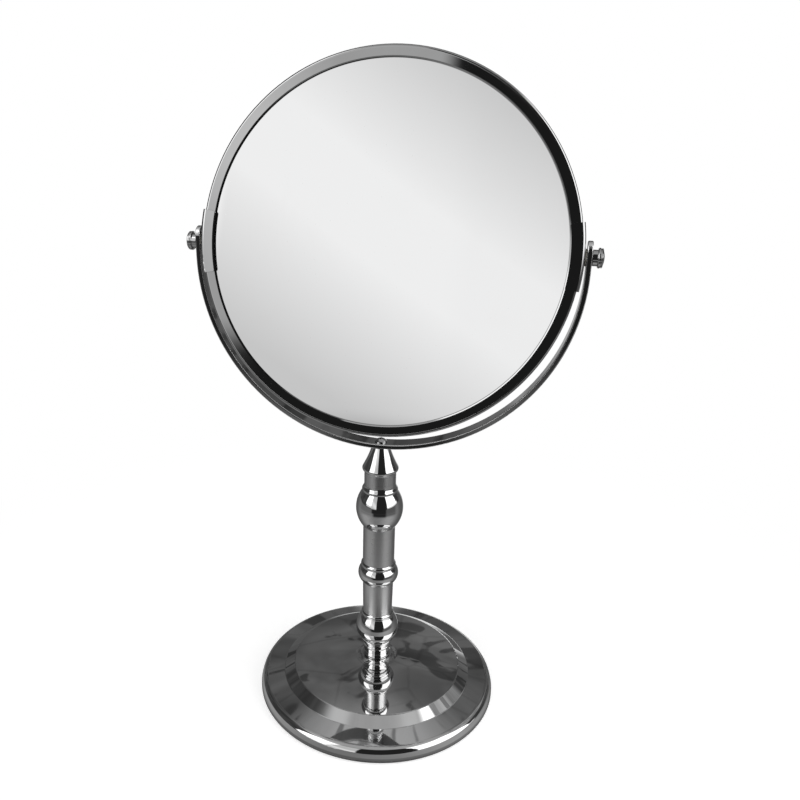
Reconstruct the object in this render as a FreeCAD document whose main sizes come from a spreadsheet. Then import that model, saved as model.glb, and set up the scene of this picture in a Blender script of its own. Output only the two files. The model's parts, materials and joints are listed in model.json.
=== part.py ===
import FreeCAD, Part
import Sketcher
import math
import os
from FreeCAD import Vector, Placement, Rotation

# Free-standing countertop mirror, 8 inch nominal, double sided: a round base, a turned
# column, a half-round yoke and a tilting two-glass head.
# Millimetres, +Z up, origin at the centre of the foot where it rests on the counter.
# -Y is the front, X is the pivot axis of the mirror head.

doc = FreeCAD.newDocument("CountertopMirror")

# ---------------------------------------------------------------- dimensions
# A name ending in _z, _top, _bottom or _height is measured up from the counter,
# unless a comment says otherwise.
SIZES = {
    # base
    "pad_radius": 69.5, "pad_thick": 2.0,
    "base_radius": 74.0, "base_foot_z": 0.8, "sheet_base": 0.9,
    "rim_mid_z": 3.6, "rim_top_radius": 73.5, "rim_top_z": 6.6,
    "rim_in_radius": 69.5, "rim_in_z": 10.1, "rim_corner": 4.6,
    "step_out_radius": 58.9, "step_out_z": 12.5,
    "step_in_radius": 52.4, "step_in_z": 16.8,
    "crown_radius": 9.4, "crown_z": 21.7, "crown_arc": 420.0,
    "hub_radius": 13.5, "hub_z": 20.61, "hub_arc": 10.3,
    "weight_radius": 67.5, "weight_bottom": 2.05, "weight_recess": 12.0,
    "web_z": 9.0, "rod_hole": 3.4,
    # column, heights of the joints between its pieces
    "joint_gap": 0.02,
    "collar_radius": 8.2, "collar_top": 31.4, "collar_groove_z": 25.7,
    "bead_low_top": 54.8, "bead_low_radius": 13.25, "bead_low_z": 42.3,
    "bead_low_ring": 10.2,
    "tube_low_bottom_radius": 9.05, "tube_low_top_radius": 9.4,
    "bead_mid_bottom": 76.1, "bead_mid_top": 89.7,
    "tube_up_radius": 9.65, "ball_bottom": 114.6, "ball_top": 141.9,
    "neck_radius": 9.4,
    "cone_bottom": 150.0, "cone_shoulder": 10.55, "cone_top": 166.0,
    "cone_top_radius": 5.2,
    "bore_tube": 8.2, "spigot_radius": 8.12, "spigot_length": 4.0,
    "spigot_short": 3.4,
    "rod_radius": 3.0, "rod_bottom": 2.6, "rod_top": 157.0, "rod_bore": 3.05,
    "cone_bore_top": 158.0,
    # washer and nut on the tie rod; both heights are their own
    "rod_washer_radius": 9.0, "rod_washer_thick": 1.6,
    "nut_circumradius": 5.77, "nut_tall": 5.0,
    # yoke
    "pivot_height": 280.0, "yoke_radius": 106.3, "yoke_thick": 2.8,
    "yoke_width": 10.0, "yoke_centre": 272.3, "yoke_end": 288.5,
    "yoke_edge": 0.6, "pivot_hole": 2.5,
    # yoke screw; the head's height and the recess cut are their own
    "screw_shank": 2.45, "screw_head": 3.5, "screw_head_high": 2.3,
    "screw_end": 159.0, "recess_cut": 3.0,
    # mirror head, radii from the head's own axis, depth from its mid plane
    "head_tilt": 9.67, "hoop_radius": 101.6, "hoop_depth": 6.0,
    "hoop_sheet": 1.0, "hoop_corner": 1.7, "hoop_lip": 95.2,
    "hoop_bevel": 95.75, "glass_radius": 100.3, "glass_thick": 2.0,
    "rear_sphere": 1000.0, "spacer_in": 96.5, "notch_cut": 6.0,
    "clamp_sheet": 1.1, "clamp_angle": 19.4, "clamp_lip": 95.05,
    "clamp_corner": 1.4,
    # studs and washers, _out, _end and _in are distances along X
    "stud_radius": 2.45, "stud_fit": 0.08, "stud_end": 110.3,
    "stud_head_wide": 5.6, "stud_head_long": 10.0, "stud_head_out": 100.4,
    "stud_head_thick": 1.5,
    "washer_radius": 4.4, "washer_in": 102.83, "washer_thick": 0.6,
    # thumb nuts, _in, _x and _end are distances along X
    "knob_in": 106.36, "knob_neck": 4.15, "knob_head_x": 109.0,
    "knob_head": 5.2, "knob_end": 112.4, "knob_bore": 2.5,
    "knob_bore_end": 110.8,
}


class Size:
    """A number that also carries the spreadsheet formula that drives it."""

    def __init__(self, value, formula):
        self.value = value
        self.formula = formula

    def __float__(self):
        return self.value

    def __str__(self):
        return self.formula

    def __add__(self, other):
        return Size(self.value + float(other), "(%s + %s)" % (self, other))

    def __sub__(self, other):
        return self + -other

    def __mul__(self, factor):
        return Size(self.value * factor, "(%s * %r)" % (self, factor))

    def __neg__(self):
        return self * -1.0

    def __abs__(self):
        return -self if self.value < 0 else self


class Dimensions:
    """Holds one Size for each spreadsheet alias."""


dim = Dimensions()
sheet = doc.addObject("Spreadsheet::Sheet", "Dims")
for row, (alias, value) in enumerate(SIZES.items(), start=1):
    sheet.set("A%d" % row, alias)
    sheet.set("B%d" % row, repr(value))
    sheet.setAlias("B%d" % row, alias)
    setattr(dim, alias, Size(value, "Dims." + alias))
doc.recompute()

nodes = []          # objects that are exported, one file each


# ------------------------------------------------------------------ sketches
def drive(obj, prop, size):
    obj.setExpression(prop, str(size))


def new_sketch(body, name, role, offset=None):
    """Sketch on an origin plane of the body, moved along its normal by offset."""
    sketch = body.newObject("Sketcher::SketchObject", name)
    support = next(f for f in body.Origin.OriginFeatures if f.Role == role)
    sketch.AttachmentSupport = (support, [""])
    sketch.MapMode = "FlatFace"
    if offset is not None:
        sketch.AttachmentOffset = Placement(Vector(0, 0, float(offset)), Rotation())
        drive(sketch, "AttachmentOffset.Base.z", offset)
    return sketch


def constrain(sketch, pairs):
    """Add (constraint, size) pairs; each constraint with a Size follows its formula."""
    start = len(sketch.Constraints)
    sketch.addConstraint([constraint for constraint, size in pairs])
    bound = [(start + k, size) for k, (constraint, size) in enumerate(pairs)
             if isinstance(size, Size)]
    for k, size in bound:
        sketch.renameConstraint(k, "size%d" % k)
    for k, size in bound:
        drive(sketch, "Constraints.size%d" % k, size)


def pin(geometry, position, x, y):
    """Pairs that fix a point of a geometry at (x, y); a plain zero ties it to the axis."""
    pairs = []
    for kind, axis, place in (("DistanceX", -2, x), ("DistanceY", -1, y)):
        if not isinstance(place, Size) and place == 0:
            pairs.append((Sketcher.Constraint("PointOnObject", geometry, position, axis), None))
        else:
            pairs.append((Sketcher.Constraint(kind, -1, 1, geometry, position, float(place)),
                          place))
    return pairs


def minor_arc(start, end, bulge):
    """Arc between two points.  Sketch arcs always run anticlockwise."""
    chord = end - start
    left = Vector(-chord.y, chord.x, 0).normalize()
    back = math.sqrt(bulge * bulge - chord.Length ** 2 / 4.0)
    centre = (start + end) * 0.5 - left * math.copysign(back, bulge)
    first, last = (end, start) if bulge > 0 else (start, end)
    angle_first = math.atan2(first.y - centre.y, first.x - centre.x)
    angle_last = math.atan2(last.y - centre.y, last.x - centre.x)
    if angle_last < angle_first:
        angle_last += 2.0 * math.pi
    return Part.ArcOfCircle(Part.Circle(centre, Vector(0, 0, 1), abs(bulge)),
                            angle_first, angle_last)


def profile(sketch, points):
    """Closed profile.  points is a list of (x, y[, bulge]); bulge is the radius
    of the arc to the next point, positive when the arc swells to the left of
    the travel direction, negative when to the right."""
    count = len(points)
    corners = [Vector(float(p[0]), float(p[1]), 0) for p in points]
    bulges = [p[2] if len(p) > 2 else None for p in points]
    geometry = []
    for i, bulge in enumerate(bulges):
        start, end = corners[i], corners[(i + 1) % count]
        if bulge is None:
            geometry.append(Part.LineSegment(start, end))
        else:
            geometry.append(minor_arc(start, end, float(bulge)))
    sketch.addGeometry(geometry, False)

    # which end of each geometry, 1 or 2, is its first point along the profile
    first = [2 if bulge is not None and float(bulge) > 0 else 1 for bulge in bulges]
    pairs = []
    for i in range(count):
        j = (i + 1) % count
        pairs.append((Sketcher.Constraint("Coincident", i, 3 - first[i], j, first[j]), None))
    for i, point in enumerate(points):
        pairs += pin(i, first[i], point[0], point[1])
        if bulges[i] is not None:
            radius = abs(bulges[i])
            pairs.append((Sketcher.Constraint("Radius", i, float(radius)), radius))
    constrain(sketch, pairs)


def circle(sketch, x, y, radius):
    shape = Part.Circle(Vector(float(x), float(y), 0), Vector(0, 0, 1), float(radius))
    geometry = sketch.addGeometry(shape, False)
    radius_pair = (Sketcher.Constraint("Radius", geometry, float(radius)), radius)
    constrain(sketch, pin(geometry, 3, x, y) + [radius_pair])


def lines(sketch, points):
    """Free line segments from point to point."""
    for start, end in zip(points, points[1:]):
        sketch.addGeometry(Part.LineSegment(Vector(*start), Vector(*end)), False)


def dome_radius(half_chord, rise):
    return (half_chord ** 2 + rise ** 2) / (2.0 * rise)


# ------------------------------------------------------------------ features
def revolve(label, points, role="XZ_Plane", axis="V_Axis", angle=360.0, midplane=False,
            reverse=False):
    """Body turned from a profile, added to the exported nodes."""
    body = doc.addObject("PartDesign::Body", label)
    sketch = new_sketch(body, label + "_profile", role)
    profile(sketch, points)
    turned = body.newObject("PartDesign::Revolution", label + "_turned")
    turned.Profile = sketch
    turned.ReferenceAxis = (sketch, [axis])
    turned.Angle = float(angle)
    if isinstance(angle, Size):
        drive(turned, "Angle", angle)
    turned.Midplane = midplane
    turned.Reversed = reverse
    body.Tip = turned
    doc.recompute()
    nodes.append(body)
    return body


def extrude(body, name, sketch, length, midplane=False, reverse=False):
    pad = body.newObject("PartDesign::Pad", name)
    pad.Profile = sketch
    drive(pad, "Length", length)
    if midplane:
        pad.Midplane = True
    if reverse:
        pad.Reversed = True
    body.Tip = pad
    doc.recompute()
    return pad


def cut(body, name, role, draw, offset=None, length=None, reverse=False):
    """Pocket from an origin plane, through all both ways when no length is given."""
    before = body.Shape.Volume
    sketch = new_sketch(body, name + "_sketch", role, offset)
    draw(sketch)
    doc.recompute()
    pocket = body.newObject("PartDesign::Pocket", name)
    pocket.Profile = sketch
    if length is None:
        pocket.Type = 1         # through all
    else:
        pocket.Type = 0
        drive(pocket, "Length", length)
    pocket.Midplane = length is None
    pocket.Reversed = reverse
    body.Tip = pocket
    doc.recompute()
    # a pocket that misses the solid is turned the other way
    if not body.Shape.Volume < before - 1e-3:
        pocket.Reversed = not reverse
        doc.recompute()
    if not body.Shape.Volume < before - 1e-3:
        raise RuntimeError(name + " removed nothing")


def edge_names(shape, wanted):
    return ["Edge%d" % i for i, edge in enumerate(shape.Edges, start=1) if wanted(edge)]


def fillet(body, name, wanted, radius):
    base = body.Tip
    edges = edge_names(body.Shape, wanted)
    rounding = body.newObject("PartDesign::Fillet", name)
    rounding.Base = (base, edges)
    rounding.Radius = float(radius)
    drive(rounding, "Radius", radius)
    body.Tip = rounding
    doc.recompute()


def cylinder(name, radius, height, bottom=None):
    solid = doc.addObject("Part::Cylinder", name)
    drive(solid, "Radius", radius)
    drive(solid, "Height", height)
    if bottom is not None:
        drive(solid, "Placement.Base.z", bottom)
    return solid


def bored(label, outer, bore):
    """Exported node: the outer solid less its bore."""
    result = doc.addObject("Part::Cut", label)
    result.Base = outer
    result.Tool = bore
    nodes.append(result)


# ------------------------------------------------------------------ the base
# Soft pad glued under the weight; its underside is the rest face.
nodes.append(cylinder("base_pad", dim.pad_radius, dim.pad_thick))

# Stamped shell: rounded rim, sloping annulus, bevel step, shallow crown rising to a hub.
# Turned profiles list (radius, height[, bulge]); this one starts with the underside.
sheet_base = dim.sheet_base
revolve("base_shell", [
    (dim.rod_hole, dim.crown_z),
    (dim.rod_hole, dim.crown_z - sheet_base),
    (dim.crown_radius, dim.crown_z - sheet_base, -(dim.hub_arc + sheet_base)),
    (dim.hub_radius, dim.hub_z - sheet_base, dim.crown_arc - sheet_base),
    (dim.step_in_radius - 0.35, dim.step_in_z - 0.83),
    (dim.step_out_radius - 0.30, dim.step_out_z - 0.93),
    (dim.rim_in_radius - 0.35, dim.rim_in_z - 0.95, dim.rim_corner - sheet_base),
    (dim.rim_top_radius - sheet_base, dim.rim_top_z - 0.1),
    (dim.base_radius - sheet_base, dim.rim_mid_z),
    (dim.base_radius - 1.4, dim.base_foot_z + sheet_base),
    (dim.base_radius - 3.6, dim.base_foot_z + sheet_base),
    (dim.base_radius - 3.6, dim.base_foot_z),
    (dim.base_radius - 1.2, dim.base_foot_z, -1.9),
    (dim.base_radius, dim.rim_mid_z - 0.6),
    (dim.base_radius, dim.rim_mid_z + 0.9, -22.0),
    (dim.rim_top_radius, dim.rim_top_z, -dim.rim_corner),
    (dim.rim_in_radius, dim.rim_in_z),
    (dim.step_out_radius + 0.25, dim.step_out_z - 0.057, 1.59),
    (dim.step_out_radius - 0.27, dim.step_out_z + 0.179),
    (dim.step_in_radius + 0.3, dim.step_in_z - 0.198, -1.65),
    (dim.step_in_radius - 0.38, dim.step_in_z + 0.05, -dim.crown_arc),
    (dim.hub_radius, dim.hub_z, dim.hub_arc),
    (dim.crown_radius, dim.crown_z),
])

# Cast iron disc that keeps the mirror from tipping, with a nut recess.
revolve("base_weight", [
    (dim.rod_hole, dim.web_z),
    (dim.weight_recess, dim.web_z),
    (dim.weight_recess, dim.weight_bottom),
    (dim.weight_radius, dim.weight_bottom),
    (dim.weight_radius, dim.weight_bottom + 5.6),
    (dim.step_out_radius - 1.5, dim.weight_bottom + 7.6),
    (dim.step_in_radius - 1.0, dim.weight_bottom + 11.0),
    (16.0, dim.weight_bottom + 11.0),
    (13.0, dim.hub_z - sheet_base - 0.3),
    (9.2, dim.crown_z - sheet_base - 0.4),
    (8.5, dim.crown_z - sheet_base - 0.05),
    (dim.rod_hole, dim.crown_z - sheet_base - 0.05),
])

# ---------------------------------------------------------------- the column
# Spigots on the beads, knop and cone centre the tubes and sleeve between them.
gap = dim.joint_gap
turned_bore = dim.rod_bore + 0.2
LOWER_STEP = 0.35       # the lower tube's bore and spigots are smaller by this
lower_spigot = dim.spigot_radius - LOWER_STEP


def tube(label, bore, bottom_radius, top_radius, bottom, top):
    """Plain sleeve that stops a gap short of each joint."""
    revolve(label, [
        (bore, bottom + gap),
        (bottom_radius, bottom + gap),
        (top_radius, top - gap),
        (bore, top - gap),
    ])


revolve("foot_collar", [
    (turned_bore, dim.crown_z + gap),
    (dim.collar_radius - 0.5, dim.crown_z + gap),
    (dim.collar_radius, dim.crown_z + 0.6),
    (dim.collar_radius, dim.collar_groove_z - 0.5, 0.62),
    (dim.collar_radius, dim.collar_groove_z + 0.5),
    (dim.collar_radius, dim.collar_top - 2.9),
    (dim.collar_radius + 0.35, dim.collar_top - 2.1, -0.7),
    (dim.collar_radius + 0.35, dim.collar_top - 1.1),
    (dim.collar_radius + 0.1, dim.collar_top - 0.5),
    (dim.collar_radius + 0.1, dim.collar_top),
    (turned_bore, dim.collar_top),
])

revolve("lower_bead", [
    (turned_bore, dim.collar_top + gap),
    (dim.collar_radius + 0.3, dim.collar_top + gap),
    (dim.collar_radius + 0.75, dim.collar_top + 0.7, -1.2),
    (dim.collar_radius + 0.9, dim.collar_top + 1.7),
    (dim.bead_low_ring - 0.2, dim.collar_top + 2.3, -2.2),
    (dim.bead_low_ring - 0.15, dim.collar_top + 4.4, 0.8),
    (dim.bead_low_ring + 0.15, dim.bead_low_z - 6.2, -8.1),
    (dim.bead_low_radius, dim.bead_low_z, -16.87),
    (dim.bead_low_ring + 0.05, dim.bead_low_z + 9.6, 0.5),
    (dim.tube_low_bottom_radius + 0.75, dim.bead_low_top - 2.2, -1.3),
    (dim.tube_low_bottom_radius + 0.55, dim.bead_low_top - 0.4),
    (dim.tube_low_bottom_radius + 0.1, dim.bead_low_top),
    (lower_spigot, dim.bead_low_top),
    (lower_spigot, dim.bead_low_top + dim.spigot_length),
    (turned_bore, dim.bead_low_top + dim.spigot_length),
])

tube("lower_tube", dim.bore_tube - LOWER_STEP, dim.tube_low_bottom_radius,
     dim.tube_low_top_radius, dim.bead_low_top, dim.bead_mid_bottom)

revolve("middle_bead", [
    (turned_bore, dim.bead_mid_bottom - dim.spigot_length),
    (lower_spigot, dim.bead_mid_bottom - dim.spigot_length),
    (lower_spigot, dim.bead_mid_bottom),
    (dim.tube_low_top_radius + 0.15, dim.bead_mid_bottom),
    (dim.tube_low_top_radius + 0.5, dim.bead_mid_bottom + 0.5, 0.9),
    (dim.tube_low_top_radius + 1.15, dim.bead_mid_bottom + 1.2, -7.2),
    (dim.tube_up_radius + 0.85, dim.bead_mid_top - 2.9, 0.5),
    (dim.tube_up_radius + 0.7, dim.bead_mid_top - 2.3, -1.3),
    (dim.tube_up_radius + 0.5, dim.bead_mid_top - 0.4),
    (dim.tube_up_radius + 0.1, dim.bead_mid_top),
    (dim.spigot_radius, dim.bead_mid_top),
    (dim.spigot_radius, dim.bead_mid_top + dim.spigot_length),
    (turned_bore, dim.bead_mid_top + dim.spigot_length),
])

tube("upper_tube", dim.bore_tube, dim.tube_up_radius, dim.tube_up_radius,
     dim.bead_mid_top, dim.ball_bottom)

revolve("ball_knop", [
    (turned_bore, dim.ball_bottom - dim.spigot_length),
    (dim.spigot_radius, dim.ball_bottom - dim.spigot_length),
    (dim.spigot_radius, dim.ball_bottom),
    (dim.tube_up_radius + 0.12, dim.ball_bottom),
    (dim.tube_up_radius + 0.4, dim.ball_bottom + 0.5, 1.0),
    (dim.tube_up_radius + 1.0, dim.ball_bottom + 1.25, -18.8),
    (dim.neck_radius + 1.05, dim.ball_top - 3.95, 0.45),
    (dim.neck_radius + 1.25, dim.ball_top - 3.45, -1.6),
    (dim.neck_radius + 0.95, dim.ball_top - 2.0, 4.0),
    (dim.neck_radius + 0.1, dim.ball_top),
    (dim.spigot_radius, dim.ball_top),
    (dim.spigot_radius, dim.ball_top + dim.spigot_short),
    (turned_bore, dim.ball_top + dim.spigot_short),
])

tube("neck_sleeve", dim.bore_tube, dim.neck_radius, dim.neck_radius,
     dim.ball_top, dim.cone_bottom)

# The cone's bore narrows from the tie rod to the yoke screw.
revolve("top_cone", [
    (dim.rod_bore, dim.cone_bottom - dim.spigot_short),
    (dim.spigot_radius, dim.cone_bottom - dim.spigot_short),
    (dim.spigot_radius, dim.cone_bottom),
    (dim.neck_radius + 0.1, dim.cone_bottom, 1.4),
    (dim.cone_shoulder - 0.35, dim.cone_bottom + 1.15),
    (dim.cone_shoulder - 0.05, dim.cone_bottom + 1.5, -1.9),
    (dim.cone_shoulder - 0.1, dim.cone_bottom + 3.3, 70.0),
    (dim.cone_top_radius, dim.cone_top - gap),
    (dim.screw_shank + 0.05, dim.cone_top - gap),
    (dim.screw_shank + 0.05, dim.cone_bore_top + 0.4),
    (dim.rod_bore, dim.cone_bore_top - 0.2),
])

# Tie rod that pulls the whole column together.
nodes.append(cylinder("tie_rod", dim.rod_radius, dim.rod_top - dim.rod_bottom,
                      dim.rod_bottom))

# Its washer and nut sit in the recess under the weight's web.
washer_bottom = dim.web_z - dim.rod_washer_thick - 0.03
bored("tie_rod_washer",
      cylinder("tie_rod_washer_disc", dim.rod_washer_radius, dim.rod_washer_thick,
               washer_bottom),
      cylinder("tie_rod_washer_bore", dim.rod_bore + 0.15, dim.rod_washer_thick,
               washer_bottom))

nut_bottom = washer_bottom - dim.nut_tall - gap
hexagon = doc.addObject("Part::Prism", "nut_hexagon")
hexagon.Polygon = 6
drive(hexagon, "Circumradius", dim.nut_circumradius)
drive(hexagon, "Height", dim.nut_tall)
drive(hexagon, "Placement.Base.z", nut_bottom)
bored("tie_rod_nut", hexagon,
      cylinder("nut_bore", dim.rod_bore, dim.nut_tall, nut_bottom))
doc.recompute()

# ------------------------------------------------------------------ the yoke
# Half-round flat band whose ends stand up past the pivots.
yoke = doc.addObject("PartDesign::Body", "yoke")
yoke_inner = dim.yoke_radius - dim.yoke_thick
yoke_half_width = float(dim.yoke_width) / 2.0
band_sketch = new_sketch(yoke, "yoke_band", "XZ_Plane")
profile(band_sketch, [
    (dim.yoke_radius, dim.yoke_end),
    (dim.yoke_radius, dim.yoke_centre, dim.yoke_radius),
    (0.0, dim.yoke_centre - dim.yoke_radius, dim.yoke_radius),
    (-dim.yoke_radius, dim.yoke_centre),
    (-dim.yoke_radius, dim.yoke_end),
    (-yoke_inner, dim.yoke_end),
    (-yoke_inner, dim.yoke_centre, -yoke_inner),
    (0.0, dim.yoke_centre - yoke_inner, -yoke_inner),
    (yoke_inner, dim.yoke_centre),
    (yoke_inner, dim.yoke_end),
])
extrude(yoke, "yoke_band_pad", band_sketch, dim.yoke_width, midplane=True)


def end_corners(sketch):
    """Waste outside a full round at the top of the strap ends, in (Y, Z)."""
    half = yoke_half_width
    top = float(dim.yoke_end)
    centre = top - half
    diagonal = half * math.sin(math.radians(45))
    clear = 2.0
    for side in (1.0, -1.0):
        shoulder = (side * half, centre)
        summit = (0.0, top)
        sketch.addGeometry(Part.Arc(Vector(*shoulder),
                                    Vector(side * diagonal, centre + diagonal),
                                    Vector(*summit)), False)
        lines(sketch, [summit, (0.0, top + clear), (side * (half + clear), top + clear),
                       (side * (half + clear), centre), shoulder])


def is_band_edge(edge):
    """Long edges that lie in the front or the back face of the band."""
    middle = edge.valueAt((edge.FirstParameter + edge.LastParameter) / 2)
    depths = [vertex.Point.y for vertex in edge.Vertexes] + [middle.y]
    first, last = edge.Vertexes[0].Point, edge.Vertexes[-1].Point
    return (all(abs(abs(y) - yoke_half_width) < 1e-4 for y in depths)
            and min(depths) * max(depths) > 0
            and edge.Length > 1.0
            and (abs(first.x - last.x) > 3.5 or abs(first.z - last.z) > 3.5))


cut(yoke, "yoke_end_round", "YZ_Plane", end_corners)
fillet(yoke, "yoke_soft_edges", is_band_edge, dim.yoke_edge)
cut(yoke, "yoke_pivot_holes", "YZ_Plane",
    lambda sketch: circle(sketch, 0.0, dim.pivot_height, dim.pivot_hole))
cut(yoke, "yoke_screw_hole", "XY_Plane",
    lambda sketch: circle(sketch, 0.0, 0.0, dim.screw_shank + 0.15))
nodes.append(yoke)

# Domed screw that fixes the yoke on the column, with a cross recess.
yoke_seat = dim.cone_top + dim.yoke_thick       # upper face of the band
HEAD_EDGE = 0.6                                 # where the dome starts above it
screw = revolve("yoke_screw", [
    (0.0, dim.screw_end),
    (dim.screw_shank - 0.5, dim.screw_end),
    (dim.screw_shank, dim.screw_end + 0.6),
    (dim.screw_shank, yoke_seat + 0.08),
    (dim.screw_head, yoke_seat + 0.08),
    (dim.screw_head, yoke_seat + HEAD_EDGE,
     -dome_radius(float(dim.screw_head), float(dim.screw_head_high) - HEAD_EDGE)),
    (0.0, yoke_seat + dim.screw_head_high),
])


def cross(sketch):
    half, reach = 0.35, 1.7     # half the slot's width, and its reach from the centre
    lines(sketch, [
        (half, half), (reach, half), (reach, -half), (half, -half),
        (half, -reach), (-half, -reach), (-half, -half), (-reach, -half),
        (-reach, half), (-half, half), (-half, reach), (half, reach), (half, half),
    ])


cut(screw, "screw_recess", "XY_Plane", cross, offset=yoke_seat + 0.9,
    length=dim.recess_cut, reverse=True)


# ----------------------------------------------------------- the mirror head
# Drawn about its own axis (local Y, front towards -Y) and tipped back.
# Its turned profiles list (radius, depth along Y[, bulge]).
def at_pivot(obj, rotation):
    obj.Placement = Placement(Vector(0, 0, float(dim.pivot_height)), rotation)
    drive(obj, "Placement.Base.z", dim.pivot_height)


def on_head(obj, turn=0.0):
    """Tip the piece back with the head, after a turn about the head's axis."""
    tilt = Rotation(Vector(1, 0, 0), -float(dim.head_tilt))
    at_pivot(obj, tilt.multiply(Rotation(Vector(0, 1, 0), turn)))


def stud_hole(sketch):
    circle(sketch, 0.0, 0.0, dim.stud_radius + dim.stud_fit)


front = -dim.hoop_depth
rear = dim.hoop_depth
SHEET_GAP = 0.05        # between the rim's sheet and what lies against it

# Folded sheet rim in two halves, its lips bevelled towards the glass.
hoop_sheet = dim.hoop_sheet
hoop_corner = dim.hoop_corner
fold_radius = dim.hoop_radius - hoop_corner
hoop_inner = dim.hoop_radius - hoop_sheet
hoop_points = [
    (dim.hoop_lip, front + hoop_sheet - 0.05),
    (dim.hoop_lip, front + 0.25),
    (dim.hoop_bevel, front),
    (fold_radius, front + 0.2, -1.512),
    (dim.hoop_radius, front + hoop_corner),
    (dim.hoop_radius, rear - hoop_corner, -1.512),
    (fold_radius, rear - 0.2),
    (dim.hoop_bevel, rear),
    (dim.hoop_lip, rear - 0.25),
    (dim.hoop_lip, rear - hoop_sheet + 0.05),
    (fold_radius, rear - hoop_sheet, hoop_corner - hoop_sheet),
    (hoop_inner, rear - hoop_corner),
    (hoop_inner, front + hoop_corner, hoop_corner - hoop_sheet),
    (fold_radius, front + hoop_sheet),
]
for label, reverse in (("upper_rim", False), ("lower_rim", True)):
    rim = revolve(label, hoop_points, role="XY_Plane", angle=180.0, reverse=reverse)
    # the upper half must lie above the pivot axis, the lower half below it
    if (label == "upper_rim") != (rim.Shape.CenterOfMass.z > 0):
        rim.Tip.Reversed = not reverse
        doc.recompute()
    cut(rim, label + "_stud_notch", "YZ_Plane", stud_hole)
    on_head(rim)

# Plain front glass.
glass_thick = dim.glass_thick
front_face = front + hoop_sheet + SHEET_GAP
front_glass = revolve("front_glass", [
    (0.0, front_face),
    (0.0, front_face + glass_thick),
    (dim.glass_radius - 0.3, front_face + glass_thick),
    (dim.glass_radius, front_face + glass_thick - 0.3),
    (dim.glass_radius, front_face + 0.3),
    (dim.glass_radius - 0.3, front_face),
], role="XY_Plane")
on_head(front_glass)

# Slumped magnifying rear glass, hollow towards the rear.
rear_face = rear - hoop_sheet - SHEET_GAP
sphere = float(dim.rear_sphere)
hollow_radius = dim.glass_radius - 0.5
dip = sphere - math.sqrt(sphere ** 2 - float(hollow_radius) ** 2)
rear_glass = revolve("rear_glass", [
    (0.0, rear_face - dip - glass_thick),
    (0.0, rear_face - dip, -dim.rear_sphere),
    (hollow_radius, rear_face),
    (dim.glass_radius, rear - hoop_sheet - 0.5),
    (dim.glass_radius, rear - hoop_sheet - glass_thick),
    (hollow_radius, rear_face - glass_thick, dim.rear_sphere),
], role="XY_Plane")
on_head(rear_glass)

# Foam ring that keeps the two glasses apart, notched for the stud heads.
spacer_front = front + hoop_sheet + glass_thick + 0.1
spacer_rear = rear - hoop_sheet - glass_thick - 0.5
spacer = revolve("glass_spacer", [
    (dim.spacer_in, spacer_front),
    (dim.glass_radius - 0.2, spacer_front),
    (dim.glass_radius - 0.2, spacer_rear),
    (dim.spacer_in, spacer_rear),
], role="XY_Plane")


def notch(sketch):
    """Rectangle round the stud head, in (Y, Z)."""
    y = float(dim.stud_head_wide) / 2.0 + 0.1
    z = float(dim.stud_head_long) / 2.0 + 0.4
    lines(sketch, [(-y, -z), (y, -z), (y, z), (-y, z), (-y, -z)])


notch_start = dim.stud_head_out - dim.stud_head_thick - 0.2
cut(spacer, "spacer_notch_right", "YZ_Plane", notch, offset=notch_start,
    length=dim.notch_cut, reverse=True)
cut(spacer, "spacer_notch_left", "YZ_Plane", notch, offset=-notch_start,
    length=dim.notch_cut)
on_head(spacer)

# Sheet clamps folded round the rim where its two halves meet.
clamp_lip = dim.clamp_lip
clamp_front = front - dim.clamp_sheet - SHEET_GAP
clamp_rear = rear + dim.clamp_sheet + SHEET_GAP
clamp_inner = dim.hoop_radius + SHEET_GAP
clamp_outer = clamp_inner + dim.clamp_sheet
clamp_fold = dim.hoop_radius - 1.0
clamp_points = [
    (clamp_lip, front - SHEET_GAP),
    (clamp_lip, clamp_front + 0.25),
    (clamp_lip + 0.5, clamp_front),
    (clamp_fold, clamp_front, -2.2),
    (clamp_outer, front + 1.0),
    (clamp_outer, rear - 1.0, -2.2),
    (clamp_fold, clamp_rear),
    (clamp_lip + 0.5, clamp_rear),
    (clamp_lip, clamp_rear - 0.25),
    (clamp_lip, rear + SHEET_GAP),
    (clamp_fold, rear + SHEET_GAP, 1.06),
    (clamp_inner, rear - 1.0),
    (clamp_inner, front + 1.0, 1.06),
    (clamp_fold, front - SHEET_GAP),
]


def is_lip_corner(edge):
    """Short edges along Y at the ends of the clamp's lips."""
    ends = [vertex.Point for vertex in edge.Vertexes]
    if len(ends) != 2:
        return False
    span = ends[0] - ends[1]
    return (abs(span.x) < 0.02 and abs(span.z) < 0.02 and 0.5 < abs(span.y) < 1.5
            and math.hypot(ends[0].x, ends[0].z) < float(clamp_lip) + 0.1)


for label, turn in (("right_clamp", 0.0), ("left_clamp", 180.0)):
    clamp = revolve(label, clamp_points, role="XY_Plane", angle=dim.clamp_angle,
                    midplane=True)
    fillet(clamp, label + "_corners", is_lip_corner, dim.clamp_corner)
    cut(clamp, label + "_stud_hole", "YZ_Plane", stud_hole)
    on_head(clamp, turn)

# T-head studs: the flat head lies in the rim's channel and can't turn.
STUD_OVERLAP = 0.2      # the shank starts this far inside the head
stud = doc.addObject("PartDesign::Body", "stud_right")
head_sketch = new_sketch(stud, "stud_head_sketch", "YZ_Plane", dim.stud_head_out)
half_wide = dim.stud_head_wide * 0.5
half_long = dim.stud_head_long * 0.5
profile(head_sketch, [
    (-half_wide, -half_long),
    (half_wide, -half_long),
    (half_wide, half_long),
    (-half_wide, half_long),
])
extrude(stud, "stud_head_pad", head_sketch, dim.stud_head_thick, reverse=True)

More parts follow.
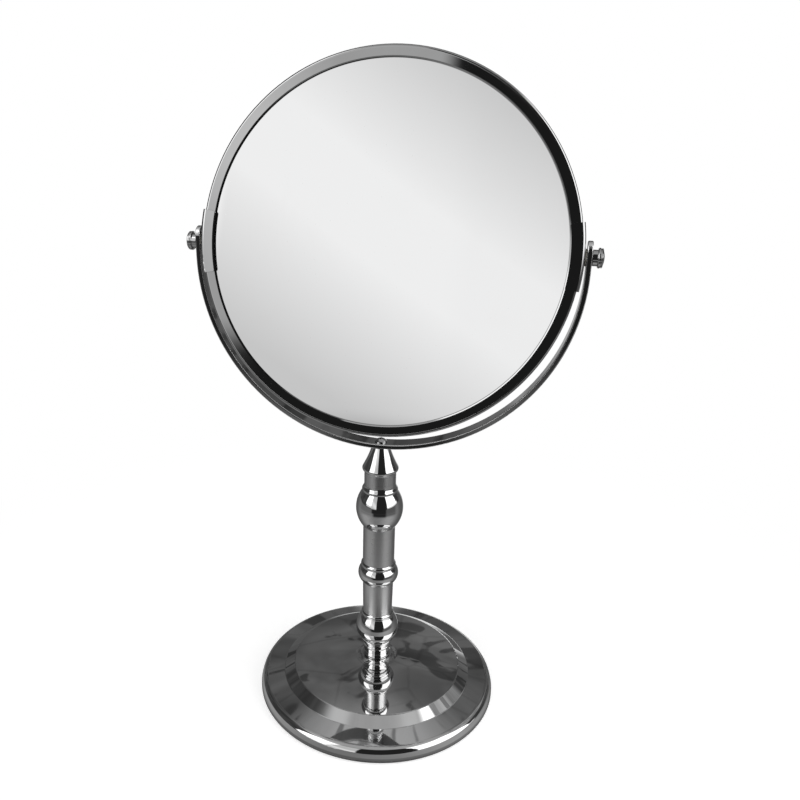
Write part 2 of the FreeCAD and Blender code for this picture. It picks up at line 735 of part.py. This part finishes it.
shank_start = dim.stud_head_out - STUD_OVERLAP
shank_sketch = new_sketch(stud, "stud_shank_sketch", "YZ_Plane", shank_start)
circle(shank_sketch, 0.0, 0.0, dim.stud_radius)
doc.recompute()
shank = extrude(stud, "stud_shank_pad", shank_sketch, dim.stud_end - shank_start)


def is_stud_tip(edge):
    return (len(edge.Vertexes) == 1
            and abs(edge.Vertexes[0].Point.x - float(dim.stud_end)) < 1e-6)


tip_edges = edge_names(stud.Shape, is_stud_tip)
chamfer = stud.newObject("PartDesign::Chamfer", "stud_tip")
chamfer.Base = (shank, tip_edges)
chamfer.Size = 0.5
stud.Tip = chamfer
doc.recompute()
on_head(stud)

# Nylon washers between clamp and yoke.
washer = doc.addObject("PartDesign::Body", "washer_right")
washer_sketch = new_sketch(washer, "washer_sketch", "YZ_Plane", dim.washer_in)
circle(washer_sketch, 0.0, 0.0, dim.washer_radius)
stud_hole(washer_sketch)
doc.recompute()
extrude(washer, "washer_pad", washer_sketch, dim.washer_thick)
on_head(washer)

# Each fastener and its mirror image on the left make one node.
for label, right in (("pivot_studs", stud), ("pivot_washers", washer)):
    left = doc.addObject("Part::Mirroring", label + "_left")
    left.Source = right
    left.Normal = Vector(1, 0, 0)
    both = doc.addObject("Part::Compound", label)
    both.Links = [right, left]
    nodes.append(both)
doc.recompute()

# ------------------------------------------------------------- the thumb nuts
# Turned about the pivot axis: plain neck, grooved round head.
# The profile lists (distance along X, radius[, bulge]).
DOME_RISE = 0.7
knob_points = [
    (dim.knob_in, dim.knob_bore),
    (dim.knob_in, dim.knob_neck - 0.3),
    (dim.knob_in + 0.3, dim.knob_neck),
    (dim.knob_head_x - 0.1, dim.knob_neck),
    (dim.knob_head_x + 0.05, dim.knob_head - 0.6, 0.7),
    (dim.knob_head_x + 0.7, dim.knob_head),
    (dim.knob_head_x + 1.2, dim.knob_head),
    (dim.knob_head_x + 1.45, dim.knob_head - 0.3, -0.28),
    (dim.knob_head_x + 1.85, dim.knob_head - 0.3),
    (dim.knob_head_x + 2.1, dim.knob_head - 0.05, 1.35),
    (dim.knob_end - DOME_RISE, dim.knob_head - 1.3,
     dome_radius(float(dim.knob_head) - 1.3, DOME_RISE)),
    (dim.knob_end, 0.0),
    (dim.knob_bore_end, 0.0),
    (dim.knob_bore_end - 0.6, dim.knob_bore),
]
for label, turn in (("right_knob", 0.0), ("left_knob", 180.0)):
    knob = revolve(label, knob_points, role="XY_Plane", axis="H_Axis")
    at_pivot(knob, Rotation(Vector(0, 0, 1), turn))

# -------------------------------------------------------- checking and export
doc.recompute()
bad = [o.Name for o in doc.Objects if "Invalid" in o.State or "Error" in o.State]
if bad:
    raise RuntimeError("objects in error: " + ", ".join(bad))
for node in nodes:
    if node.Shape.isNull() or not node.Shape.isValid() or not node.Shape.Solids:
        raise RuntimeError("bad shape: " + node.Label)

os.makedirs("parts", exist_ok=True)
for node in nodes:
    node.Shape.exportStep("parts/%s.step" % node.Label)
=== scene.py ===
"""Countertop mirror: a round two-sided glass on a column, in polished plate.

Metres, +Z up, -Y the front.  The meshes come from the CAD pieces; this script
adds their materials, the counter, the studio world and the camera.
"""
import json
import math

import bpy
from mathutils import Matrix, Vector


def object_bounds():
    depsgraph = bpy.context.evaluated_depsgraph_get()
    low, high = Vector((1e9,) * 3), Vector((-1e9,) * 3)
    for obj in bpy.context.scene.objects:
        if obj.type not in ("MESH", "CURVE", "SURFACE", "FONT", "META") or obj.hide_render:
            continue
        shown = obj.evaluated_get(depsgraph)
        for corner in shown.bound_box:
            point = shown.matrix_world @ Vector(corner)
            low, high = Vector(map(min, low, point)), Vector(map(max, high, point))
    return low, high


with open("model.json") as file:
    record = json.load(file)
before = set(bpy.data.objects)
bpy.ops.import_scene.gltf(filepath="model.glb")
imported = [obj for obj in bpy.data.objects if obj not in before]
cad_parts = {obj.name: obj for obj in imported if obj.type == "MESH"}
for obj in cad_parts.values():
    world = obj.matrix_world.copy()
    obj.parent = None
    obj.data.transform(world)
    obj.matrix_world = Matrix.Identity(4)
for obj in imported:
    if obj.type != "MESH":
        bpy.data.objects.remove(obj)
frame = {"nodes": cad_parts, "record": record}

GLASS_HEIGHT = 0.28       # centre of the glasses and axis of the pivot studs
GLASS_RADIUS = 0.0952
SLUMP_RADIUS = 0.99996    # sphere that the magnifier's face belongs to
SLUMP_TILT = math.radians(9.67)
ROD_PITCH = 0.001         # thread pitches
STUD_PITCH = 0.0008

COUNTER_RADII = (0.12, 0.3, 0.8, 2.5, 8.0)
COUNTER_SEGMENTS = 96

cad_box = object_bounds()
scene = bpy.context.scene
scene.view_settings.view_transform = "Standard"
scene.view_settings.look = "None"
scene.view_settings.exposure = 0.0
scene.cycles.use_denoising = True
scene.cycles.max_bounces = 14
scene.cycles.glossy_bounces = 12
scene.cycles.diffuse_bounces = 3
scene.cycles.sample_clamp_indirect = 6.0
scene.cycles.blur_glossy = 0.2


# ------------------------------------------------------------- node helpers
class Value:
    """An output socket.  Arithmetic on it adds Math nodes to its net."""

    def __init__(self, net, socket):
        self.net, self.socket = net, socket

    def math(self, operation, *others):
        return self.net.math(operation, self, *others)

    def __add__(self, other):
        return self.math("ADD", other)

    def __radd__(self, other):
        return self.net.math("ADD", other, self)

    def __sub__(self, other):
        return self.math("SUBTRACT", other)

    def __rsub__(self, other):
        return self.net.math("SUBTRACT", other, self)

    def __mul__(self, other):
        return self.math("MULTIPLY", other)

    def __rmul__(self, other):
        return self.net.math("MULTIPLY", other, self)

    def __abs__(self):
        return self.math("ABSOLUTE")

    def step(self, lo, hi):
        """0 below lo, 1 above hi, smooth between."""
        return self.net.value("ShaderNodeMapRange",
                              {"Value": self, "From Min": lo, "From Max": hi},
                              interpolation_type="SMOOTHSTEP")

    def band(self, lo, hi, soft):
        """1 between lo and hi, soft edges."""
        return self.step(lo - soft, lo + soft) * (1.0 - self.step(hi - soft, hi + soft))

    def remap(self, lo, hi, to_lo, to_hi):
        return self.net.value("ShaderNodeMapRange", {
            "Value": self, "From Min": lo, "From Max": hi, "To Min": to_lo, "To Max": to_hi})

    def mix(self, off, on):
        """Number that goes from off to on as this value goes from 0 to 1."""
        return self.net.value("ShaderNodeMix", {0: self, 2: off, 3: on}, data_type="FLOAT")

    def mix_color(self, off, on):
        return self.net.value("ShaderNodeMix", {0: self, 6: off, 7: on}, output=2,
                              data_type="RGBA")


class Net:
    """Builds the node tree of a material or world, emptied first."""

    def __init__(self, owner):
        owner.use_nodes = True
        self.tree = owner.node_tree
        self.tree.nodes.clear()
        self.count = 0

    def node(self, kind, inputs=None, **props):
        node = self.tree.nodes.new(kind)
        self.count += 1
        node.location = (-1600 + 180 * (self.count % 12), -220 * (self.count // 12))
        for key, setting in props.items():
            setattr(node, key, setting)
        self.fill(node, inputs or {})
        return node

    def fill(self, node, inputs):
        """Link or set a node's inputs, given by name or number."""
        for key, given in inputs.items():
            if isinstance(given, Value):
                self.tree.links.new(given.socket, node.inputs[key])
            else:
                node.inputs[key].default_value = given

    def value(self, kind, inputs=None, output=0, **props):
        return Value(self, self.node(kind, inputs, **props).outputs[output])

    def math(self, operation, *terms):
        return self.value("ShaderNodeMath", dict(enumerate(terms)), operation=operation)

    def vector(self, operation, *terms, output="Vector"):
        return self.value("ShaderNodeVectorMath", dict(enumerate(terms)), output,
                          operation=operation)

    def split(self, vector):
        node = self.node("ShaderNodeSeparateXYZ", {0: vector})
        return [Value(self, socket) for socket in node.outputs]

    def place(self):
        return self.value("ShaderNodeTexCoord", output="Object")

    def coords(self, stretch=(1, 1, 1), rotate=(0, 0, 0)):
        return self.value("ShaderNodeMapping", {
            "Vector": self.place(), "Scale": stretch, "Rotation": rotate}, "Vector")

    def noise(self, coords, scale, detail=3.0, rough=0.5, distort=0.0):
        return self.value("ShaderNodeTexNoise", {
            "Vector": coords, "Scale": scale, "Detail": detail, "Roughness": rough,
            "Distortion": distort}, "Fac")

    def bump(self, height, distance, strength=1.0, normal=None):
        inputs = {"Height": height, "Distance": distance, "Strength": strength}
        if normal is not None:
            inputs["Normal"] = normal
        return self.value("ShaderNodeBump", inputs, "Normal")

    def emission(self, strength):
        return self.value("ShaderNodeEmission", {"Strength": strength})

    def mix_shader(self, mask, off, on):
        return self.value("ShaderNodeMixShader", {0: mask, 1: off, 2: on})

    def camera_ray(self):
        return self.value("ShaderNodeLightPath", output="Is Camera Ray")


def principled(name):
    mat = bpy.data.materials.new(name)
    net = Net(mat)
    out = net.node("ShaderNodeOutputMaterial")
    bsdf = net.node("ShaderNodeBsdfPrincipled")
    net.tree.links.new(bsdf.outputs["BSDF"], out.inputs["Surface"])
    out.location, bsdf.location = (900, 0), (600, 0)
    return mat, net, bsdf


def grey(level, warm=0.0):
    return (level * (1 + warm), level, level * (1 - warm), 1.0)


# ------------------------------------------------------------------ materials
def chrome(name, wave, wave_scale, level=0.76, grain=None, linished_with_glint=False):
    """Polished plate: faint waviness, hairlines, smears, and painted shade in the seams, where
    they are also rougher with grime.
    """
    mat, net, bsdf = principled(name)
    coords = net.coords()
    smear = net.noise(net.coords((1, 1, 0.6), (0.3, 0.2, 0.5)),
                      scale=55, detail=4, rough=0.62, distort=0.8)
    fine = net.noise(coords, scale=900, detail=2)
    hair, cross_hair = [
        net.noise(net.coords(stretch, rotate), scale=1.0, detail=2, rough=0.6)
        for stretch, rotate in (((1500, 60, 60), (0.4, 0.9, 0.3)),
                                ((50, 1700, 70), (0.2, 0.5, 1.1)))]
    lines = hair.step(lo=0.62, hi=0.72) * cross_hair.step(lo=0.50, hi=0.75)
    # each flaw adds its own share to the roughness of clean plate
    rough = 0.028 + smear.step(lo=0.50, hi=0.74) * 0.045
    rough = rough + lines * 0.10
    rough = rough + fine * 0.008
    colour = smear.step(lo=0.3, hi=0.8).mix_color(
        off=grey(level, warm=-0.004), on=grey(level * 0.955, warm=0.004))

    # painted shade: the colour darkens where surfaces meet, found by ambient occlusion; the
    # seams are rougher too, as with grime
    open_sky = net.value("ShaderNodeAmbientOcclusion", {"Distance": 0.0011}, "AO", samples=6)
    seam_shade_and_grime = 1.0 - open_sky.step(lo=0.25, hi=0.85)
    colour = (seam_shade_and_grime * 0.55).mix_color(off=colour, on=grey(0.16, warm=0.02))
    rough = rough + seam_shade_and_grime * 0.16
    if linished_with_glint:
        # painted highlight: the strip's rounded edges get a near-white colour so they look
        # lit; they are also rougher, being linished
        normal = net.value("ShaderNodeNewGeometry", output="Normal")
        linished_glint_edge = abs(net.split(normal)[1]).band(lo=0.22, hi=0.95, soft=0.03)
        colour = linished_glint_edge.mix_color(off=colour, on=grey(0.97))
        rough = linished_glint_edge.mix(off=rough, on=smear.remap(lo=0.3, hi=0.7, to_lo=0.20, to_hi=0.26))

    normal = net.bump(net.noise(coords, wave_scale, detail=2, rough=0.45), distance=wave)
    if grain:
        drawn = net.noise(net.coords((3, 3, grain)), scale=1.0, rough=0.6)
        normal = net.bump(drawn, distance=0.0000016, normal=normal)
    normal = net.bump(lines, distance=0.0000012, normal=normal)
    net.fill(bsdf, {"Base Color": colour, "Metallic": 1.0, "Roughness": rough,
                    "Normal": normal})
    return mat


def satin(name):
    """Satin plate with a fine circumferential grain from the lathe."""
    mat, net, bsdf = principled(name)
    ring = net.noise(net.coords((6, 6, 5200)), scale=1.0, rough=0.7)
    broad = net.noise(net.coords((4, 4, 620)), scale=1.0, detail=2)
    cloud = net.noise(net.coords((1, 1, 0.4)), scale=120, rough=0.55, distort=0.4)
    # the three weights add up to 1
    shade = ring * 0.30 + (broad * 0.22 + cloud * 0.48)
    normal = net.bump(ring, distance=0.0000035)
    net.fill(bsdf, {
        "Base Color": shade.step(lo=0.3, hi=0.7).mix_color(off=grey(0.66), on=grey(0.76)),
        "Metallic": 1.0,
        "Roughness": shade.remap(lo=0.3, hi=0.7, to_lo=0.25, to_hi=0.34),
        "Anisotropic": 0.6,
        "Anisotropic Rotation": 0.25,
        "Tangent": net.value("ShaderNodeTangent", output="Tangent",
                             direction_type="RADIAL", axis="Z"),
        "Normal": net.bump(broad, distance=0.000006, normal=normal)})
    return mat


def leaned(net, place):
    """Mesh normal, and an offset that leans it and bows it across the width."""
    lean_x, bow_x, lean_z = -0.0763, -0.115, 0.035
    normal = net.value("ShaderNodeNewGeometry", output="Normal")
    x = net.split(place)[0]
    return normal, net.value("ShaderNodeCombineXYZ", {0: x * bow_x + lean_x, 2: lean_z})


def slumped(net, place):
    """Exact normal of the slumped face, whose sphere is centred behind; no offset."""
    centre = (0.0, SLUMP_RADIUS * math.cos(SLUMP_TILT),
              GLASS_HEIGHT - SLUMP_RADIUS * math.sin(SLUMP_TILT))
    normal = net.value("ShaderNodeVectorTransform", {0: net.vector("SUBTRACT", centre, place)},
                       vector_type="NORMAL", convert_from="OBJECT", convert_to="WORLD")
    return normal, (0.0, 0.0, 0.0)


def silvered(name, facing):
    """Silvered glass: near perfect mirror, faint wiping haze, a darker ring at the very edge.
    """
    mat, net, bsdf = principled(name)
    haze = net.noise(net.coords(rotate=(0.5, 0.1, 0.3)),
                     scale=16, detail=4, rough=0.6, distort=1.2)
    specks = net.noise(net.coords(), scale=1400, detail=1, rough=0.4).step(lo=0.74, hi=0.80)
    place = net.place()
    from_centre = net.vector("SUBTRACT", place, (0.0, 0.0, GLASS_HEIGHT))
    rim = net.vector("LENGTH", from_centre, output="Value").step(
        lo=GLASS_RADIUS - 0.0004, hi=GLASS_RADIUS - 0.0001)
    colour = (haze.step(lo=0.45, hi=0.8) * 0.5).mix_color(
        off=grey(0.905, warm=-0.002), on=grey(0.885, warm=0.001))
    colour = (specks * 0.25).mix_color(off=colour, on=grey(0.7))
    # roughness of clean glass, then haze, specks and the darker edge ring
    rough = 0.004 + haze.step(lo=0.52, hi=0.8) * 0.012
    rough = rough + specks * 0.10
    normal = net.vector("NORMALIZE", net.vector("ADD", *facing(net, place)))
    ripple = net.noise(net.coords(), scale=9, detail=1, rough=0.4)
    net.fill(bsdf, {
        # the outermost fraction of a millimetre of glass, next to the rim, is darkened to dark
        # grey
        "Base Color": (rim * 0.8).mix_color(off=colour, on=grey(0.20)),
        "Metallic": 1.0,
        "Roughness": rough + rim * 0.05,
        "Normal": net.bump(ripple, distance=0.00004, normal=normal),
        "Coat Weight": 0.35,
        "Coat Roughness": 0.01})
    return mat


def cast_iron(name):
    """Rough dark casting with patches of rust."""
    mat, net, bsdf = principled(name)
    coords = net.coords()
    grit = net.noise(coords, scale=420, detail=5, rough=0.65)
    rust = net.noise(coords, scale=45, detail=4, rough=0.6, distort=0.6)
    net.fill(bsdf, {
        "Base Color": rust.step(lo=0.52, hi=0.70).mix_color(
            off=grey(0.055), on=(0.16, 0.075, 0.04, 1)),
        "Metallic": 0.55,
        "Roughness": grit.remap(lo=0.3, hi=0.7, to_lo=0.55, to_hi=0.8),
        "Normal": net.bump(grit, distance=0.00035)})
    return mat


def felt(name):
    """Black felt: two crossing lays of fibre."""
    mat, net, bsdf = principled(name)
    lay = net.noise(net.coords((1, 0.12, 1), (0, 0, 0.5)),
                    scale=1600, detail=4, rough=0.7, distort=1.5)
    cross_lay = net.noise(net.coords((0.12, 1, 1), (0, 0, -0.3)),
                          scale=1500, detail=4, rough=0.7, distort=1.5)
    pile = lay * 0.5 + cross_lay * 0.5
    net.fill(bsdf, {
        "Base Color": pile.step(lo=0.38, hi=0.62).mix_color(
            off=grey(0.012), on=grey(0.045, warm=0.03)),
        "Roughness": 0.95,
        "Sheen Weight": 0.4,
        "Sheen Roughness": 0.5,
        "Normal": net.bump(pile, distance=0.00022)})
    return mat


def foam(name):
    """Black closed-cell foam."""
    mat, net, bsdf = principled(name)
    cell = net.value("ShaderNodeTexVoronoi", {"Vector": net.coords(), "Scale": 1500},
                     "Distance", feature="F1")
    net.fill(bsdf, {
        "Base Color": cell.step(lo=0.1, hi=0.6).mix_color(off=grey(0.02), on=grey(0.055)),
        "Roughness": 0.85,
        "Normal": net.bump(cell, distance=0.00012)})
    return mat


def nylon(name):
    """Natural cream nylon."""
    mat, net, bsdf = principled(name)
    cloud = net.noise(net.coords(), scale=700, rough=0.55)
    net.fill(bsdf, {
        "Base Color": cloud.mix_color(off=(0.72, 0.69, 0.60, 1), on=(0.83, 0.81, 0.74, 1)),
        "Roughness": cloud.remap(lo=0.3, hi=0.7, to_lo=0.38, to_hi=0.52),
        "Subsurface Weight": 0.12,
        "Subsurface Radius": (0.001, 0.0009, 0.0007),
        "Normal": net.bump(net.noise(net.coords(), scale=2600, detail=2),
                           distance=0.000012)})
    return mat


def thread_bump(net, axis, pitch, normal):
    """Helical ridge round the given axis (0 is X, 2 is Z)."""
    xyz = net.split(net.place())
    along = xyz.pop(axis)
    across, up = xyz
    if axis == 0:
        up = up - GLASS_HEIGHT
    turn = up.math("ARCTAN2", across) * (pitch / (2 * math.pi))
    ridge = (along + turn).math("PINGPONG", pitch / 2)
    return net.bump(ridge * (2.0 / pitch), distance=pitch * 0.5, strength=0.9, normal=normal)


def zinc(name, thread_axis=None, pitch=None):
    """Bright zinc plate, with a cut thread where the part has one."""
    mat, net, bsdf = principled(name)
    coords = net.coords()
    spangle = net.noise(coords, scale=260, rough=0.6, distort=0.7)
    normal = net.bump(net.noise(coords, scale=1800, rough=0.6), distance=0.000012)
    if thread_axis is not None:
        normal = thread_bump(net, thread_axis, pitch, normal)
    net.fill(bsdf, {
        "Base Color": spangle.step(lo=0.35, hi=0.7).mix_color(
            off=(0.50, 0.52, 0.54, 1), on=(0.66, 0.67, 0.66, 1)),
        "Metallic": 1.0,
        "Roughness": spangle.remap(lo=0.3, hi=0.7, to_lo=0.22, to_hi=0.38),
        "Normal": normal})
    return mat


SLOT_MATERIALS = {
    "felt": felt("felt_pile"),
    "base_chrome": chrome("base_plate", wave=0.00005, wave_scale=24.0),
    "cast_iron": cast_iron("cast_iron_rough"),
    "column_chrome": chrome("column_plate", wave=0.000006, wave_scale=120.0, grain=2400),
    "satin_chrome": satin("satin_plate"),
    "zinc_steel": zinc("zinc_plain"),
    "yoke_chrome": chrome("yoke_plate", wave=0.00002, wave_scale=60.0, level=0.56,
                          linished_with_glint=True),
    "fastener_chrome": chrome("screw_plate", wave=0.000004, wave_scale=300.0, level=0.70),
    "rim_chrome": chrome("rim_plate", wave=0.000012, wave_scale=60.0, level=0.52),
    "mirror_glass": silvered("silvered_plain", leaned),
    "magnifier_glass": silvered("silvered_slumped", slumped),
    "foam": foam("foam_closed_cell"),
    "nylon": nylon("nylon_natural"),
    "knob_chrome": chrome("knob_plate", wave=0.000004, wave_scale=300.0, level=0.62),
}
THREADED = {
    "tie_rod": zinc("zinc_rod_thread", thread_axis=2, pitch=ROD_PITCH),
    "pivot_studs": zinc("zinc_stud_thread", thread_axis=0, pitch=STUD_PITCH),
}

slot_of = {part["node"]: part["material_slot"] for part in frame["record"]["subparts"]}
for name, obj in frame["nodes"].items():
    mat = THREADED.get(name, SLOT_MATERIALS[slot_of[name]])
    for slot in obj.material_slots:
        slot.link = "OBJECT"
        slot.material = mat


# ---------------------------------------------------------------------- world
def azimuth(x, y):
    """Degrees: 0 in front, + to the right."""
    return x.math("ARCTAN2", y * -1.0) * (180 / math.pi)


def counter_light(az):
    """Brightness of the counter by direction: a pool of light on either side."""
    pool_angle = 62
    left = ((az + pool_angle) * (math.pi / 180)).math("COSINE")
    right = ((az - pool_angle) * (math.pi / 180)).math("COSINE")
    left = left.math("MAXIMUM", 0.0).math("POWER", 5.0)
    right = right.math("MAXIMUM", 0.0).math("POWER", 4.0)
    # base level, more towards the front, much more straight behind, then the pools
    around = 1.0 - abs(az).step(lo=60, hi=140)
    level = 0.105 + 0.10 * around
    level = level + abs(az).step(lo=155, hi=172) * 0.40
    return level + (left * 0.15 + right * 0.17)


def room(net, direction, az, side, el):
    """Upper half: dim studio walls, a lighter ceiling, a dark gap in front."""
    wall = side.step(lo=105, hi=150).mix(off=0.055, on=0.112)
    right_wall = az.band(lo=103, hi=146, soft=4) * el.step(lo=26, hi=34)
    wall = right_wall.mix(off=wall, on=0.40)
    blotch = net.noise(direction, scale=3.2, rough=0.55, distort=0.9)
    wall = wall * blotch.remap(lo=0.3, hi=0.7, to_lo=0.50, to_hi=1.50)
    clutter = net.noise(direction, scale=5.5, detail=2, distort=1.6)
    clutter = clutter.step(lo=0.57, hi=0.63) * side.step(lo=95, hi=115)
    cell_edge = net.value("ShaderNodeTexVoronoi", {"Vector": direction, "Scale": 4.2},
                          "Distance", feature="DISTANCE_TO_EDGE")
    joints = 1.0 - cell_edge.step(lo=0.004, hi=0.028)
    wall = wall * (1.0 - joints * side.step(lo=100, hi=130) * 0.16)
    ceiling = 0.40 * blotch.remap(lo=0.3, hi=0.7, to_lo=0.9, to_hi=1.1)
    upper = el.step(lo=48, hi=66).mix(off=wall, on=ceiling)
    halo = side.band(lo=40, hi=92, soft=8) * el.band(lo=57, hi=67, soft=4)
    upper = halo.mix(off=upper, on=0.58)
    upper = upper * (1.0 - clutter * 0.55)
    gap = az.band(lo=-6, hi=46, soft=3) * (1.0 - el.step(lo=56, hi=66))
    return gap.mix(off=upper, on=0.018)


def card_light(az, el):
    """Pale card: brightest along a slanting line, fading to either side of it."""
    slope, offset, half_width = 0.6, -2.75, 3.0
    peak, fade, least = 0.945, 0.0309, 0.62
    off_line = abs(el + az * slope + offset)
    return (peak - (off_line - half_width).math("MAXIMUM", 0.0) * fade).math("MAXIMUM", least)


def counter_below(az, side, el):
    """Lower half: the counter as the metal sees it."""
    floor = counter_light(az)
    shade = az.step(lo=10, hi=50).mix(off=0.16, on=0.11)
    shaded = el.step(lo=-24, hi=-14) * side.band(lo=0, hi=95, soft=12)
    floor = shaded.mix(off=floor, on=shade)
    dark = az.band(lo=-27, hi=42, soft=5) * el.step(lo=-24, hi=-14)
    return dark.mix(off=floor, on=0.018)


def build_world():
    world = bpy.data.worlds.new("studio")
    scene.world = world
    net = Net(world)
    direction = net.value("ShaderNodeTexCoord", output="Generated")
    x, y, z = net.split(direction)
    az = azimuth(x, y)
    el = z.math("ARCSINE") * (180 / math.pi)
    side = abs(az)
    below = 1.0 - el.step(lo=-3, hi=1.5)
    env = below.mix(off=room(net, direction, az, side, el), on=counter_below(az, side, el))
    # azimuth lo, hi, softness; elevation lo, hi, softness; brightness
    panels = (
        ((-31.5, -5.5, 1.2), (0, 57, 2.0), card_light(az, el)),
        ((-58, -31, 2), (2, 9, 2), 0.85),    # below the left softbox
        ((48, 108, 3), (1, 7, 2), 0.95),     # below the right softbox
        ((-62, -31, 1.3), (8, 57, 2), 1.9),  # left softbox
        ((48, 101, 1.5), (5, 57, 2), 1.9),   # right softbox
    )
    for across, height, brightness in panels:
        env = (az.band(*across) * el.band(*height)).mix(off=env, on=brightness)
    back = side.step(lo=158, hi=168) * el.band(lo=-3, hi=8, soft=1.5)
    env = back.mix(off=env, on=1.0)

    # the camera itself sees plain white
    studio, white = [
        net.value("ShaderNodeBackground", {"Color": (1, 1, 1, 1), "Strength": strength})
        for strength in (env, 1.0)]
    net.node("ShaderNodeOutputWorld",
             {"Surface": net.mix_shader(net.camera_ray(), off=studio, on=white)})


build_world()


# -------------------------------------------------------------------- counter
def counter_mesh():
    """Flat disc of concentric rings under the part."""
    height, count = cad_box[0].z, COUNTER_SEGMENTS
    verts = [(0.0, 0.0, height)]
    for radius in COUNTER_RADII:
        for k in range(count):
            angle = 2 * math.pi * k / count
            verts.append((radius * math.cos(angle), radius * math.sin(angle), height))
    faces = [(0, 1 + k, 1 + (k + 1) % count) for k in range(count)]
    for j in range(len(COUNTER_RADII) - 1):
        for k in range(count):
            this, following = 1 + j * count + k, 1 + j * count + (k + 1) % count
            faces.append((this, this + count, following + count, following))
    mesh = bpy.data.meshes.new("counter_top")
    mesh.from_pydata(verts, [], faces)
    return mesh


def counter_material():
    mat = bpy.data.materials.new("counter_pale")
    net = Net(mat)
    mottled = net.noise(net.coords(), scale=22, detail=4, rough=0.6)
    place = net.place()
    radius = net.vector("LENGTH", place, output="Value")

    # what the camera sees: a lit top that fades to plain white
    diffuse = net.value("ShaderNodeBsdfDiffuse",
                        {"Color": mottled.mix_color(off=grey(0.86), on=grey(0.90))})
    lit = net.value("ShaderNodeAddShader", {0: diffuse, 1: net.emission(strength=0.62)})
    direct = net.mix_shader(radius.step(lo=0.12, hi=0.42), off=lit,
                            on=net.emission(strength=1.0))

    # what the polished parts see of the counter is painted light: it glows with painted pools
    # of light on both sides and a painted shaded band in front, and goes dark beyond arm's
    # length in front
    x, y, z = net.split(place)
    az = azimuth(x, y)
    pool = counter_light(az)
    shade = az.step(lo=10, hi=50).mix(off=0.20, on=0.13)
    shaded = radius.step(lo=0.20, hi=0.32) * abs(az).band(lo=0, hi=95, soft=12)
    pool = shaded.mix(off=pool, on=shade)
    far = az.band(lo=-20, hi=42, soft=8) * radius.step(lo=0.19, hi=0.29)
    pool = far.mix(off=pool, on=0.020)
    # painted contact shadow: darker close round the origin, under the base's foot
    pool = pool * (0.35 + radius.step(lo=0.0735, hi=0.084) * 0.65)
    seen = net.emission(pool * mottled.remap(lo=0.3, hi=0.7, to_lo=0.92, to_hi=1.08))
    mirrored = net.mix_shader(radius.step(lo=0.40, hi=0.50), off=seen,
                              on=net.value("ShaderNodeBsdfTransparent"))
    net.node("ShaderNodeOutputMaterial",
             {"Surface": net.mix_shader(net.camera_ray(), off=mirrored, on=direct)})
    return mat


def build_counter():
    mesh = counter_mesh()
    counter = bpy.data.objects.new("counter_top", mesh)
    scene.collection.objects.link(counter)
    mesh.materials.append(counter_material())


build_counter()


# --------------------------------------------------------------------- camera
def build_camera():
    # the camera stands right of the front by "around" and turns a little further
    around, distance, height = 0.1841, 0.43931, 0.35249
    yaw, pitch, roll = 0.0465, 0.3595, 0.0050
    heading = around + yaw
    place = Vector((distance * math.sin(around), -distance * math.cos(around), height))
    forward = Vector((-math.sin(heading) * math.cos(pitch),
                      math.cos(heading) * math.cos(pitch), -math.sin(pitch)))
    level_right = Vector((math.cos(heading), math.sin(heading), 0.0))
    level_up = level_right.cross(forward)
    right = level_right * math.cos(roll) + level_up * math.sin(roll)
    up = level_up * math.cos(roll) - level_right * math.sin(roll)
    data = bpy.data.cameras.new("camera")
    camera = bpy.data.objects.new("camera", data)
    scene.collection.objects.link(camera)
    rotation = Matrix((right, up, -forward)).transposed()
    camera.matrix_world = Matrix.Translation(place) @ rotation.to_4x4()
    data.sensor_fit = "HORIZONTAL"
    data.sensor_width = 36.0
    data.lens = 36.8307
    data.shift_x = 0.067475
    data.shift_y = 0.0137125
    data.clip_start, data.clip_end = 0.01, 50.0
    scene.camera = camera


build_camera()
